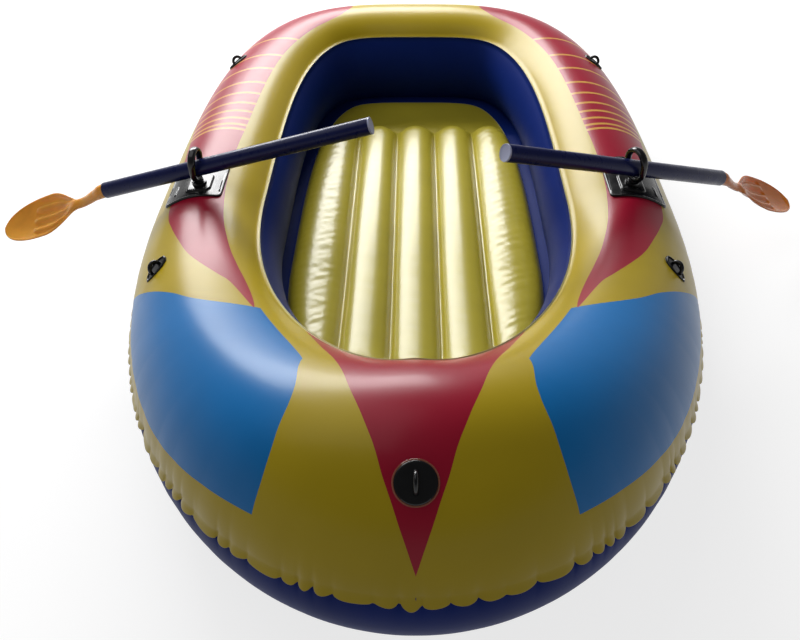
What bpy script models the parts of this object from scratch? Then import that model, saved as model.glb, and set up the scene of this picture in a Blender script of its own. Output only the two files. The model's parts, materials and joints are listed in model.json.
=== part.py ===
# Inflatable rowing boat: a ring-shaped air tube welded from a top and a bottom skin,
# a quilted air floor, welded-on oarlocks with swivelling loops, and two take-apart oars.
# Metres, +Z up, bow towards -Y, port towards +X. The boat rests on Z = 0.
import math

import bpy
import bmesh
from mathutils import Matrix, Vector

# Plan of the tube's centre line, measured from its widest station
half_beam = 0.4335
bow_reach = 0.786
stern_reach = 0.982
stern_power = 3.6
bow_taper_share = 0.10

# The tube
tube_radius = 0.1415
bow_tube_radius = 0.189
bow_lift = 0.073
foot_half_angle = math.radians(8)
outer_seam_angle = math.radians(10)
inner_seam_angle = math.radians(139)
skin_thickness = 0.0005
outer_flange = 0.010
inner_flange = 0.004
bulkhead_thickness = 0.001
station_reach_per_turn = 0.217

# The air floor
floor_height = 0.045
floor_crown = 0.030
floor_inset = 0.146
floor_margin = 0.066
channel_width = 0.106
weld_limit = 0.240
stern_hem = 0.170
bow_hem = 0.080
channel_end = 0.060
sheet_tip = 0.003

# Oarlocks
lock_station = -0.010
lock_offset = 0.020
pad_outset = 0.030
pad_width = 0.122
pad_fore = 0.045
pad_aft = 0.115
pad_crown = 0.045
pad_corner = 0.012
pad_thickness = 0.003
plate_width = 0.052
plate_length = 0.064
plate_corner = 0.010
plate_thickness = 0.003
boss_radius = 0.015
boss_height = 0.009
socket_depth = 0.010
pin_radius = 0.0045
collar_radius = 0.010
loop_thickness = 0.011
loop_width = 0.015
loop_bore_radius = 0.0215
loop_straight = 0.010

# Oars, as they lie at rest
shaft_radius = 0.017
shaft_wall = 0.002
shaft_length = 0.600
cap_thickness = 0.003
cap_stub = 0.018
cap_edge = 0.001
blade_stub = 0.040
neck_length = 0.085
neck_width = 0.015
neck_depth = 0.020
neck_drop = 0.022
blade_length = 0.215
blade_width = 0.108
blade_thickness = 0.003
bowl_depth = 0.011
rib_height = 0.0022
rib_share = 0.62
widest_share = 0.42
root_share = 0.20
blade_end_share = 0.985
flare_power = 0.8
tip_power = 2.4
bowl_power = 0.8
bowl_wall_power = 0.7
rib_end_power = 0.6
blade_rake = math.radians(7)
starboard_inboard = 0.388
port_inboard = 0.342
starboard_swing = math.radians(-4.5)
port_swing = math.radians(25)
starboard_dip = math.radians(17)
port_dip = math.radians(19.5)
starboard_feather = math.radians(25)
port_feather = math.radians(20)

# Rope holders
front_holder_station = -0.275
rear_holder_station = 0.635
holder_angle = math.radians(57)
holder_skew = math.radians(45)
holder_length = 0.060
holder_width = 0.030
holder_thickness = 0.003
holder_bar_radius = 0.0028
holder_span = 0.024
holder_rise = 0.018
holder_point_power = 0.4
fitting_sink = 0.010

# Bow tow eye
eye_angle = math.radians(57)
eye_disc_radius = 0.029
eye_disc_thickness = 0.004
eye_bar_radius = 0.0032
eye_span = 0.026
eye_rise = 0.018

# Air valves
valve_spread = 0.150
hull_valve_angle = math.radians(-24)
floor_valve_station = -0.400
valve_disc_radius = 0.017
valve_disc_thickness = 0.0025
valve_disc_sink = 0.006
valve_neck_radius = 0.0105
valve_bore_radius = 0.007
valve_neck_rise = 0.008
valve_neck_depth = 0.012
plug_head_radius = 0.010
plug_head_thickness = 0.003
plug_edge = 0.001
plug_stub = 0.012
plug_taper = 0.003
plug_tab_reach = 0.022
plug_tab_width = 0.009
plug_tab_corner = 0.003
plug_tab_thickness = 0.002

# Fits
seat_gap = 0.0003
running_gap = 0.0004
rocking_gap = 0.0007
hole_gap = 0.0005
overrun = 0.020
weld_distance = 0.00003
sharp_angle = math.radians(35)

# Counts
plan_steps = 720
floor_plan_stride = 4
station_count = 60
top_sides = 7
inner_wall_sides = 6
outer_wall_sides = 4
channel_count = 5
channel_sides = 4
bow_hem_rows = 3
channel_rows = 11
stern_hem_rows = 5
margin_rows = 1
turned_sides = 20
small_sides = 14
disc_sides = 28
loop_arc_sides = 10
eye_arc_sides = 8
neck_rows = 5
blade_rows = 10
blade_columns = 14
rib_count = 4
pad_arc_sides = 12
corner_sides = 3
holder_sides = 20

for item in list(bpy.data.objects):
    bpy.data.objects.remove(item, do_unlink=True)

part_collection = bpy.data.collections.new("inflatable_rowing_boat")
cutter_collection = bpy.data.collections.new("cutters")
bpy.context.scene.collection.children.link(part_collection)
bpy.context.scene.collection.children.link(cutter_collection)


def make_material(name, colour, roughness, metallic=0.0):
    material = bpy.data.materials.new(name)
    material.use_nodes = True
    shader = material.node_tree.nodes["Principled BSDF"]
    shader.inputs["Base Color"].default_value = (*colour, 1.0)
    shader.inputs["Roughness"].default_value = roughness
    shader.inputs["Metallic"].default_value = metallic
    return material


gold = make_material("gold_vinyl", (0.42, 0.34, 0.045), 0.24)
navy = make_material("navy_vinyl", (0.010, 0.014, 0.10), 0.26)
black = make_material("black_vinyl", (0.012, 0.012, 0.014), 0.30)
shaft_blue = make_material("shaft_navy_plastic", (0.014, 0.014, 0.055), 0.35)
cap_grey = make_material("cap_grey_plastic", (0.32, 0.34, 0.42), 0.45)
blade_orange = make_material("blade_orange_plastic", (0.72, 0.22, 0.03), 0.28)
loop_black = make_material("loop_black_plastic", (0.010, 0.010, 0.012), 0.34)


# Objects, modifiers and simple forms


def add_object(name, mesh, material, matrix=Matrix.Identity(4), parent=None):
    item = bpy.data.objects.new(name, mesh)
    part_collection.objects.link(item)
    mesh.materials.append(material)
    item.parent = parent
    item.matrix_local = matrix
    return item


def add_cutter(name, mesh, matrix=Matrix.Identity(4)):
    item = bpy.data.objects.new(name, mesh)
    cutter_collection.objects.link(item)
    item.matrix_local = matrix
    item.hide_render = True
    item.display_type = "WIRE"
    return item


def add_boolean(item, operation, other):
    modifier = item.modifiers.new(operation.title(), "BOOLEAN")
    modifier.operation = operation
    modifier.solver = "EXACT"
    modifier.object = other


def add_shell(item, thickness, even=True):
    # The wall grows to the inner side of the surface.
    modifier = item.modifiers.new("Shell", "SOLIDIFY")
    modifier.thickness = thickness
    modifier.offset = -1
    modifier.use_even_offset = even


def add_screw(item, sides):
    modifier = item.modifiers.new("Turned", "SCREW")
    modifier.steps = sides
    modifier.render_steps = sides
    modifier.use_merge_vertices = True
    modifier.merge_threshold = weld_distance
    modifier.use_smooth_shade = True


def mesh_from(bm, name):
    mesh = bpy.data.meshes.new(name)
    bm.to_mesh(mesh)
    bm.free()
    mesh.shade_smooth()
    mesh.set_sharp_from_angle(angle=sharp_angle)
    return mesh


def drum(name, radius, low, high, sides=small_sides):
    bm = bmesh.new()
    bmesh.ops.create_cone(
        bm,
        cap_ends=True,
        segments=sides,
        radius1=radius,
        radius2=radius,
        depth=high - low,
        matrix=Matrix.Translation((0, 0, (low + high) / 2)),
    )
    return mesh_from(bm, name)


def profile(name, points, closed=False):
    # A profile in the XZ plane for turning about Z, given down its outer side.
    bm = bmesh.new()
    corners = [bm.verts.new((radius, 0, height)) for radius, height in points]
    for upper, lower in zip(corners, corners[1:]):
        bm.edges.new((upper, lower))
    if closed:
        bm.edges.new((corners[-1], corners[0]))
    return mesh_from(bm, name)


def solid_of_curve(curve, weld):
    # A curve's evaluated mesh, with its loose caps welded on.
    item = bpy.data.objects.new(curve.name, curve)
    bpy.context.scene.collection.objects.link(item)
    bpy.context.view_layer.update()
    graph = bpy.context.evaluated_depsgraph_get()
    raw = bpy.data.meshes.new_from_object(item.evaluated_get(graph))
    bpy.data.objects.remove(item, do_unlink=True)
    name = curve.name
    bpy.data.curves.remove(curve)
    bm = bmesh.new()
    bm.from_mesh(raw)
    bpy.data.meshes.remove(raw)
    bmesh.ops.remove_doubles(bm, verts=bm.verts, dist=weld)
    return mesh_from(bm, name)


def add_spline(curve, points, cyclic):
    spline = curve.splines.new("POLY")
    spline.points.add(len(points) - 1)
    for control, point in zip(spline.points, points):
        control.co = (*point, 1)
    spline.use_cyclic_u = cyclic


def plate(name, outline, thickness):
    # A flat outline, made a plate centred on its own plane.
    curve = bpy.data.curves.new(name, "CURVE")
    curve.dimensions = "2D"
    curve.fill_mode = "BOTH"
    curve.extrude = thickness / 2
    add_spline(curve, [(x, y, 0) for x, y in outline], True)
    return solid_of_curve(curve, weld_distance)


def bar(name, points, radius, cyclic=False):
    curve = bpy.data.curves.new(name, "CURVE")
    curve.dimensions = "3D"
    curve.bevel_depth = radius
    curve.bevel_resolution = 2
    curve.use_fill_caps = not cyclic
    add_spline(curve, points, cyclic)
    return solid_of_curve(curve, weld_distance)


def arc(centre, radius, first, last, sides, squash=1):
    points = []
    for i in range(sides + 1):
        angle = first + (last - first) * i / sides
        x = centre[0] + radius * math.cos(angle)
        points.append((x, centre[1] + squash * radius * math.sin(angle)))
    return points


def even_steps(low, high, steps):
    return [low + (high - low) * i / steps for i in range(steps + 1)]


def eased_steps(low, high, steps):
    return [low + (high - low) * (1 - math.cos(math.pi * i / steps)) / 2 for i in range(steps + 1)]


def loft(name, loops, ring=False, tube=False):
    # Joins neighbouring loops of points. A ring joins its last loop to its first, and
    # a tube each loop's last point to its first. A tube that is no ring is capped.
    # Each quad is split the same way, so that a fitted form matches its seat.
    bm = bmesh.new()
    rows = [[bm.verts.new(point) for point in loop] for loop in loops]
    ends = [rows[0], rows[-1]]
    if ring:
        rows.append(rows[0])
    if tube:
        rows = [row + [row[0]] for row in rows]
    for near, far in zip(rows, rows[1:]):
        for i in range(len(near) - 1):
            bm.faces.new((near[i], far[i], far[i + 1], near[i + 1]))
    if tube and not ring:
        bm.faces.new(ends[0])
        bm.faces.new(reversed(ends[1]))
    bmesh.ops.triangulate(bm, faces=bm.faces, quad_method="FIXED")
    return mesh_from(bm, name)


# The tube's plan, stations and sections


def plan_point(turn):
    # The port half of the plan, from the bow at -1 to the stern at 1.
    along = math.sin(math.pi / 2 * turn)
    across = math.cos(math.pi / 2 * turn)
    if turn < 0:
        share = (1 - bow_taper_share) * across + bow_taper_share * across**3
        return Vector((half_beam * share, bow_reach * along))
    power = 2 / stern_power
    return Vector((half_beam * max(across, 0) ** power, stern_reach * along**power))


plan = [plan_point(turn) for turn in even_steps(-1, 1, plan_steps)]
plan[0].x = 0
plan[-1].x = 0
hull_middle = (stern_reach + tube_radius - bow_reach - bow_tube_radius) / 2


def plan_outward(index):
    if index == 0:
        return Vector((0, -1))
    if index == len(plan) - 1:
        return Vector((0, 1))
    along = (plan[index + 1] - plan[index - 1]).normalized()
    return Vector((along.y, -along.x))


def bow_share(y):
    return min(max(-y / bow_reach, 0), 1) ** 2


class Station:
    # A place on the tube's centre line, with the radius and the way out of the boat there.
    def __init__(self, place, outward, side=1):
        share = bow_share(place.y)
        self.radius = tube_radius + (bow_tube_radius - tube_radius) * share
        height = self.radius * math.cos(foot_half_angle) + bow_lift * share
        self.centre = Vector((side * place.x, place.y - hull_middle, height))
        self.outward = Vector((side * outward.x, outward.y, 0))

    def point(self, angle, radial, tangential=0):
        reach = radial * math.cos(angle) - tangential * math.sin(angle)
        rise = radial * math.sin(angle) + tangential * math.cos(angle)
        return self.centre + self.outward * reach + Vector((0, 0, rise))

    def frame(self, angle, radial):
        # Z points out of the tube, X runs along it and Y up its side.
        normal = self.outward * math.cos(angle) + Vector((0, 0, math.sin(angle)))
        along = Vector((0, 0, 1)).cross(self.outward)
        basis = Matrix((along, normal.cross(along), normal)).transposed().to_4x4()
        return Matrix.Translation(self.point(angle, radial)) @ basis

    def slice(self):
        # X points out of the boat and Y up, in the plane of the section.
        along = self.outward.cross(Vector((0, 0, 1)))
        basis = Matrix((self.outward, (0, 0, 1), along)).transposed().to_4x4()
        return Matrix.Translation(self.centre) @ basis


def ring_stations():
    # Stations lie closer where the plan turns, and port and starboard match.
    reach = [0]
    for i in range(1, len(plan)):
        turn = abs(plan_outward(i).angle_signed(plan_outward(i - 1)))
        reach.append(reach[-1] + (plan[i] - plan[i - 1]).length + station_reach_per_turn * turn)
    port = []
    for wanted in even_steps(0, reach[-1], station_count // 2):
        port.append(min(range(len(plan)), key=lambda i: abs(reach[i] - wanted)))
    ring = [Station(plan[i], plan_outward(i)) for i in port]
    return ring + [Station(plan[i], plan_outward(i), -1) for i in reversed(port[1:-1])]


def station_at(y, side=1):
    index = min(range(len(plan)), key=lambda i: abs(plan[i].y - y))
    return Station(plan[index], plan_outward(index), side)


def stern_station_at(x, side=1):
    astern = range(len(plan) // 2, len(plan))
    index = min(astern, key=lambda i: abs(plan[i].x - x))
    return Station(plan[index], plan_outward(index), side)


stations = ring_stations()
foot = math.radians(270)
top_angles = even_steps(outer_seam_angle, inner_seam_angle, top_sides)
bottom_angles = even_steps(inner_seam_angle, foot - foot_half_angle, inner_wall_sides)
bottom_angles += even_steps(
    foot + foot_half_angle, outer_seam_angle + math.radians(360), outer_wall_sides
)


def flange_at(angle):
    return inner_flange if angle == inner_seam_angle else outer_flange


def skin_line(station, angles):
    # The outer face of a skin, with a flange turned out along each of its two seams.
    radius = station.radius
    near = seat_gap / 2 + skin_thickness
    first, last = angles[0], angles[-1]
    return [
        station.point(first, radius + flange_at(first), near),
        station.point(first, radius, near),
        *[station.point(angle, radius) for angle in angles[1:-1]],
        station.point(last, radius, -near),
        station.point(last, radius + flange_at(last), -near),
    ]


def section_angles():
    return top_angles[:-1] + bottom_angles[:-1]


def tube_ring(name, growth):
    # The whole tube as one solid ring, grown all round.
    loops = []
    for station in stations:
        radius = station.radius + growth
        loops.append([station.point(angle, radius) for angle in section_angles()])
    return loft(name, loops, ring=True, tube=True)


def build_skins():
    skins = []
    for name, angles, material in (
        ("hull_top_skin", top_angles, gold),
        ("hull_bottom_skin", bottom_angles, navy),
    ):
        lines = [skin_line(station, angles) for station in stations]
        skins.append(add_object(name, loft(name, lines, ring=True), material))
        add_shell(skins[-1], skin_thickness)
    return skins


def build_bulkheads():
    # Two webs part the tube into a port and a starboard chamber.
    middle = len(stations) // 2
    for name, station in (("bow_bulkhead", stations[0]), ("stern_bulkhead", stations[middle])):
        radius = station.radius - skin_thickness - seat_gap
        outline = [(radius * math.cos(angle), radius * math.sin(angle)) for angle in section_angles()]
        add_object(name, plate(name, outline, bulkhead_thickness), navy, station.slice())


# The air floor


def inset_plan(inset):
    return [plan[i] - plan_outward(i) * inset for i in range(0, len(plan), floor_plan_stride)]


def half_width(outline, y):
    widths = [0]
    for near, far in zip(outline, outline[1:]):
        if (near.y - y) * (far.y - y) <= 0 and near.y != far.y:
            widths.append(near.x + (far.x - near.x) * (y - near.y) / (far.y - near.y))
    return max(widths)


floor_bow = -bow_reach + floor_inset
floor_stern = stern_reach - floor_inset
channel_bow = floor_bow + bow_hem
channel_stern = floor_stern - stern_hem


def swell_at(y):
    # Channels round up from the flat hems at both ends.
    reach = min(y - channel_bow, channel_stern - y)
    share = min(max(reach / channel_end, 0), 1)
    return math.sqrt(1 - (1 - share) ** 2)


def weld_lines(width):
    # Weld lines lie a channel apart, and draw together where the floor narrows.
    pinch = min(1, width / weld_limit)
    inner = channel_count / 2 - 1
    lines = [channel_width * pinch * (i - inner) for i in range(channel_count - 1)]
    return [-width, *lines, width]


def sheet_row(y, width, height, crown):
    row = []
    lines = weld_lines(width)
    for left, right in zip(lines, lines[1:]):
        for share in even_steps(-1, 1, channel_sides)[:-1]:
            x = (left + right) / 2 + (right - left) / 2 * share
            rise = crown * math.sqrt(1 - share**2)
            row.append(Vector((x, y - hull_middle, height + rise)))
    row.append(Vector((width, y - hull_middle, height)))
    return row


def quilted_rows(side, shift):
    # The quilted part of a sheet. Side 1 swells up and side -1 down.
    outline = inset_plan(floor_inset)
    places = eased_steps(floor_bow + sheet_tip, channel_bow, bow_hem_rows)[:-1]
    places += eased_steps(channel_bow, channel_stern, channel_rows)
    places += eased_steps(channel_stern, floor_stern - sheet_tip, stern_hem_rows)[1:]
    rows = []
    for y in places:
        height = floor_height + bow_lift * bow_share(y) + shift
        crown = side * floor_crown * swell_at(y)
        rows.append(sheet_row(y, half_width(outline, y), height, crown))
    return rows


def with_margin(rows, shift):
    # Adds a flat border that runs out under the tube.
    outer_inset = floor_inset - floor_margin
    outline = inset_plan(outer_inset)
    bow = even_steps(-bow_reach + outer_inset + sheet_tip, floor_bow, margin_rows)[:-1]
    stern = even_steps(floor_stern, stern_reach - outer_inset - sheet_tip, margin_rows)[1:]

    def edge(y, side):
        height = floor_height + bow_lift * bow_share(y) + shift
        return Vector((side * half_width(outline, y), y - hull_middle, height))

    def flat_row(y):
        left, right = edge(y, -1), edge(y, 1)
        return [left.lerp(right, share) for share in even_steps(0, 1, len(rows[0]) + 1)]

    middle = []
    for row in rows:
        y = row[0].y + hull_middle
        middle.append([edge(y, -1), *row, edge(y, 1)])
    return [flat_row(y) for y in bow] + middle + [flat_row(y) for y in stern]


def sheet(name, rows):
    # A grid laid over rows of points.
    across = len(rows[0]) - 1
    along = len(rows) - 1
    bm = bmesh.new()
    bmesh.ops.create_grid(bm, x_segments=across, y_segments=along, size=1)
    for vertex in bm.verts:
        column = round((vertex.co.x + 1) / 2 * across)
        row = round((vertex.co.y + 1) / 2 * along)
        vertex.co = rows[row][column]
    bmesh.ops.triangulate(bm, faces=bm.faces, quad_method="FIXED")
    return mesh_from(bm, name)


def build_floor():
    lift = seat_gap / 2 + skin_thickness
    top_rows = quilted_rows(1, lift)
    top = add_object("floor_top_sheet", sheet("floor_top_sheet", top_rows), gold)
    add_shell(top, skin_thickness, even=False)
    bottom_rows = with_margin(quilted_rows(-1, -seat_gap / 2), -seat_gap / 2)
    bottom = add_object("floor_bottom_sheet", sheet("floor_bottom_sheet", bottom_rows), navy)
    add_shell(bottom, skin_thickness, even=False)
    add_boolean(bottom, "DIFFERENCE", tube_seat)
    return top


# Oarlocks

boss_top = pad_thickness + boss_height
bar_height = boss_top + seat_gap + loop_thickness / 2


def pad_outline(side):
    # Straight towards the bow with small round corners, and one broad arc astern.
    half = pad_width / 2
    shift = side * (pad_outset - lock_offset)
    low = pad_corner - pad_fore
    quarter = math.pi / 2
    astern = arc((shift, pad_aft - pad_crown), half, 0, 2 * quarter, pad_arc_sides, pad_crown / half)
    left = arc((shift - half + pad_corner, low), pad_corner, 2 * quarter, 3 * quarter, corner_sides)
    right = arc((shift + half - pad_corner, low), pad_corner, 3 * quarter, 4 * quarter, corner_sides)
    return astern + left + right


def round_rectangle(width, length, corner):
    points = []
    for i, (x, y) in enumerate(((1, 1), (-1, 1), (-1, -1), (1, -1))):
        centre = (x * (width / 2 - corner), y * (length / 2 - corner))
        points += arc(centre, corner, i * math.pi / 2, (i + 1) * math.pi / 2, corner_sides)
    return points


def lock_place(side):
    # The foot of the swivel axis, where it meets the tube.
    station = station_at(lock_station, side)
    angle = math.acos(lock_offset / station.radius)
    return Matrix.Translation(station.point(angle, station.radius))


def build_oarlock_pad(side, label):
    place = lock_place(side)
    name = "oarlock_pad_" + label
    pad = add_object(name, plate(name, pad_outline(side), tube_radius), black, place)
    add_boolean(pad, "INTERSECT", pad_form)
    outline = round_rectangle(plate_width, plate_length, plate_corner)
    block = add_cutter("block_" + label, plate("block", outline, tube_radius), place)
    add_boolean(block, "INTERSECT", block_form)
    add_boolean(pad, "UNION", block)
    boss = drum("boss", boss_radius, -boss_height, boss_top, turned_sides)
    add_boolean(pad, "UNION", add_cutter("boss_" + label, boss, place))
    add_boolean(pad, "DIFFERENCE", tube_seat)
    socket = drum("socket", pin_radius + running_gap, boss_top - socket_depth, boss_top + overrun)
    add_boolean(pad, "DIFFERENCE", add_cutter("socket_" + label, socket, place))


def build_oarlock_loop(side, label, swing):
    # An upright oval band on a pin. Its lowest bar crosses the swivel axis.
    reach = loop_bore_radius + loop_thickness / 2
    base = bar_height + reach
    lower = arc((0, base), reach, math.pi, 2 * math.pi, loop_arc_sides)
    upper = arc((0, base + loop_straight), reach, 0, math.pi, loop_arc_sides)
    name = "oarlock_loop_" + label
    band = bar(name, [(0, y, z) for y, z in lower + upper], loop_thickness / 2, True)
    band.transform(Matrix.Scale(loop_width / loop_thickness, 4, (1, 0, 0)))
    place = lock_place(side) @ Matrix.Rotation(swing, 4, "Z")
    loop = add_object(name, band, loop_black, place)
    pin = drum("pin", pin_radius, boss_top - socket_depth + running_gap, bar_height)
    add_boolean(loop, "UNION", add_cutter("pin_" + label, pin, place))
    collar = drum("collar", collar_radius, boss_top + seat_gap, bar_height)
    add_boolean(loop, "UNION", add_cutter("collar_" + label, collar, place))


# Oars


def blade_half_width(share):
    # A leaf: it flares from the neck to its widest place and stays full to a round tip.
    if share < widest_share:
        flare = math.sin(math.pi / 2 * share / widest_share) ** flare_power
        return neck_width / 2 + (blade_width - neck_width) / 2 * flare
    tip = (share - widest_share) / (1 - widest_share)
    return blade_width / 2 * math.sqrt(max(1 - tip**tip_power, 0))


def blade_loop(x, drop, half, depth, thickness, ribs, flat):
    # One section round the blade. Flat is 0 at the round stub and 1 on the leaf.
    upper = []
    lower = []
    for i in range(blade_columns + 1):
        angle = math.pi * (1 - i / blade_columns)
        even = 2 * i / blade_columns - 1
        share = math.cos(angle) * (1 - flat) + even * flat
        rim = math.sqrt(max(1 - share**2, 0))
        wave = ribs * math.cos(2 * math.pi * rib_count * (share + 1) / 2) * rim
        middle = depth * (share**2 - 1) + wave - drop
        upper.append((x, half * share, middle + thickness / 2 * rim))
        lower.append((x, half * share, middle - thickness / 2 * rim))
    return upper + lower[-2:0:-1]


def blade_mesh(name):
    # The round stub, a neck pressed flat on edge, and the ribbed bowl of the leaf.
    stub = shaft_radius - shaft_wall - seat_gap
    loops = [blade_loop(x, 0, stub, 0, 2 * stub, 0, 0) for x in (-blade_stub, 0)]
    for share in even_steps(0, 1, neck_rows)[1:]:
        ease = (1 - math.cos(math.pi * share)) / 2
        half = stub + (neck_width / 2 - stub) * ease
        thickness = 2 * stub + (neck_depth - 2 * stub) * ease
        loops.append(blade_loop(neck_length * share, neck_drop * ease, half, 0, thickness, 0, 0))
    for step in even_steps(0, 1, blade_rows)[1:]:
        share = math.sin(math.pi / 2 * step * blade_end_share)
        fade = min(share / root_share, 1)
        ribbing = math.sin(math.pi * min(share / rib_share, 1)) ** rib_end_power
        loops.append(
            blade_loop(
                neck_length + blade_length * share,
                neck_drop + blade_length * share * math.tan(blade_rake),
                blade_half_width(share),
                bowl_depth * math.sin(math.pi * share**bowl_power) ** bowl_wall_power,
                neck_depth + (blade_thickness - neck_depth) * fade,
                rib_height * ribbing,
                fade,
            )
        )
    return loft(name, loops, tube=True)


def build_oar(side, label, swing, dip, feather, inboard):
    # The oar rocks on the loop's lowest bar, so its parent stands at that bar's middle.
    outboard = Matrix.Rotation(0 if side > 0 else math.pi, 4, "Z")
    pivot = bpy.data.objects.new("oar_pivot_" + label, None)
    part_collection.objects.link(pivot)
    pivot.matrix_world = (
        lock_place(side)
        @ Matrix.Rotation(swing, 4, "Z")
        @ outboard
        @ Matrix.Translation((0, 0, bar_height))
        @ Matrix.Rotation(dip, 4, "Y")
    )
    axis_height = loop_thickness / 2 + rocking_gap + shaft_radius
    turn_down = Matrix.Rotation(math.pi / 2, 4, "Y")
    handle_end = Matrix.Translation((-inboard, 0, axis_height)) @ turn_down
    bore = shaft_radius - shaft_wall

    tube = [(shaft_radius, shaft_length), (shaft_radius, 0), (bore, 0), (bore, shaft_length)]
    name = "oar_shaft_" + label
    shaft = add_object(name, profile(name, tube, True), shaft_blue, handle_end, pivot)
    add_screw(shaft, turned_sides)

    stub = bore - seat_gap
    face = -seat_gap - cap_thickness
    cap_line = [
        (0, cap_stub),
        (stub, cap_stub),
        (stub, -seat_gap),
        (shaft_radius, -seat_gap),
        (shaft_radius, face + cap_edge),
        (shaft_radius - cap_edge, face),
        (0, face),
    ]
    name = "oar_end_cap_" + label
    cap = add_object(name, profile(name, cap_line), cap_grey, handle_end, pivot)
    add_screw(cap, turned_sides)

    root = Matrix.Translation((shaft_length - inboard + seat_gap, 0, axis_height))
    name = "oar_blade_" + label
    turned = root @ Matrix.Rotation(side * feather, 4, "X")
    add_object(name, blade_mesh(name), blade_orange, turned, pivot)


# Fittings welded to the tube


def arch(span, rise, depth):
    # A raised eye over the X axis, with both legs sunk to a depth.
    crown = arc((0, 0), span / 2, math.pi, 0, eye_arc_sides, 2 * rise / span)
    points = [(-span / 2, -depth), *crown, (span / 2, -depth)]
    return [(x, 0, z) for x, z in points]


def build_fitting(name, outline, thickness, eye, place):
    # A flat moulded base, cut to the tube below it, with an eye standing on it.
    base_mesh = plate(name, outline, thickness + fitting_sink)
    base_mesh.transform(Matrix.Translation((0, 0, seat_gap + (thickness - fitting_sink) / 2)))
    base = add_object(name, base_mesh, black, place)
    standing = place @ Matrix.Translation((0, 0, thickness))
    add_boolean(base, "UNION", add_cutter("eye_of_" + name, eye, standing))
    add_boolean(base, "DIFFERENCE", tube_seat)


def lozenge(length, width):
    # An oval with drawn-out ends.
    points = []
    for i in range(holder_sides):
        angle = 2 * math.pi * i / holder_sides
        rise = math.sin(angle)
        x = length / 2 * math.cos(angle)
        points.append((x, width / 2 * rise * abs(rise) ** holder_point_power))
    return points


def build_rope_holders():
    for where, y in (("front", front_holder_station), ("rear", rear_holder_station)):
        for label, side in (("port", 1), ("starboard", -1)):
            station = station_at(y, side)
            flat = station.radius * math.cos(foot_half_angle)
            place = station.frame(holder_angle, flat)
            place = place @ Matrix.Rotation(side * holder_skew, 4, "Z")
            build_fitting(
                f"rope_holder_{where}_{label}",
                lozenge(holder_length, holder_width),
                holder_thickness,
                bar("holder_eye", arch(holder_span, holder_rise, holder_thickness), holder_bar_radius),
                place,
            )


def build_tow_eye():
    station = stations[0]
    place = station.frame(eye_angle, station.radius * math.cos(foot_half_angle))
    build_fitting(
        "bow_tow_eye",
        arc((0, 0), eye_disc_radius, 0, math.radians(360), disc_sides)[:-1],
        eye_disc_thickness,
        bar("tow_eye", arch(eye_span, eye_rise, eye_disc_thickness), eye_bar_radius),
        place @ Matrix.Rotation(math.pi / 2, 4, "Z"),
    )


# Air valves


def build_valve(name, place, seat, skin):
    # A flanged neck through a hole in the skin, closed by a push-in plug.
    top = valve_disc_thickness + valve_neck_rise
    disc = drum(name, valve_disc_radius, -valve_disc_sink, valve_disc_thickness)
    body = add_object(name, disc, black, place)
    add_boolean(body, "DIFFERENCE", seat)
    neck = drum("neck", valve_neck_radius, -valve_neck_depth, top)
    add_boolean(body, "UNION", add_cutter("neck_of_" + name, neck, place))
    bore = drum("bore", valve_bore_radius, -valve_neck_depth - overrun, top + overrun)
    add_boolean(body, "DIFFERENCE", add_cutter("bore_of_" + name, bore, place))
    hole = drum("hole", valve_neck_radius + hole_gap, -overrun, overrun)
    add_boolean(skin, "DIFFERENCE", add_cutter("hole_for_" + name, hole, place))

    low = top + seat_gap
    high = low + plug_head_thickness
    stub = valve_bore_radius - running_gap
    plug_line = [
        (0, high),
        (plug_head_radius - plug_edge, high),
        (plug_head_radius, high - plug_edge),
        (plug_head_radius, low),
        (stub, low),
        (stub, low - plug_stub + plug_taper),
        (stub - plug_taper / 2, low - plug_stub),
        (0, low - plug_stub),
    ]
    plug_name = name.replace("valve", "valve_plug")
    plug = add_object(plug_name, profile(plug_name, plug_line), black, place)
    add_screw(plug, small_sides)
    tab_outline = round_rectangle(plug_tab_reach, plug_tab_width, plug_tab_corner)
    tab_place = Matrix.Translation((plug_tab_reach / 2, 0, (low + high) / 2))
    tab = add_cutter(
        "tab_of_" + name, plate("tab", tab_outline, plug_tab_thickness), place @ tab_place
    )
    add_boolean(plug, "UNION", tab)


def build_valves(bottom_skin, floor_top):
    for label, side in (("port", 1), ("starboard", -1)):
        station = stern_station_at(valve_spread, side)
        place = station.frame(hull_valve_angle, station.radius)
        build_valve("hull_valve_" + label, place, tube_seat, bottom_skin)
    clear = seat_gap / 2 + skin_thickness + seat_gap
    floor_seat = add_cutter("floor_seat", sheet("floor_seat", quilted_rows(1, clear)))
    add_shell(floor_seat, valve_disc_radius, even=False)
    y = floor_valve_station
    crown = floor_height + floor_crown + bow_lift * bow_share(y) + clear
    place = Matrix.Translation((0, y - hull_middle, crown))
    build_valve("floor_valve", place, floor_seat, floor_top)


tube_seat = add_cutter("tube_seat", tube_ring("tube_seat", seat_gap))
pad_form = add_cutter("pad_form", tube_ring("pad_form", seat_gap + pad_thickness))
block_form = add_cutter(
    "block_form", tube_ring("block_form", seat_gap + pad_thickness + plate_thickness)
)

top_skin, bottom_skin = build_skins()
build_bulkheads()
floor_top = build_floor()
for side, label, swing, dip, feather, inboard in (
    (1, "port", port_swing, port_dip, port_feather, port_inboard),
    (-1, "starboard", starboard_swing, starboard_dip, starboard_feather, starboard_inboard),
):
    build_oarlock_pad(side, label)
    build_oarlock_loop(side, label, swing)
    build_oar(side, label, swing, dip, feather, inboard)
build_rope_holders()
build_tow_eye()
build_valves(bottom_skin, floor_top)
bpy.context.view_layer.update()
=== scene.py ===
import json
import math

import bpy
import numpy as np
from mathutils import Matrix, Vector


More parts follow.
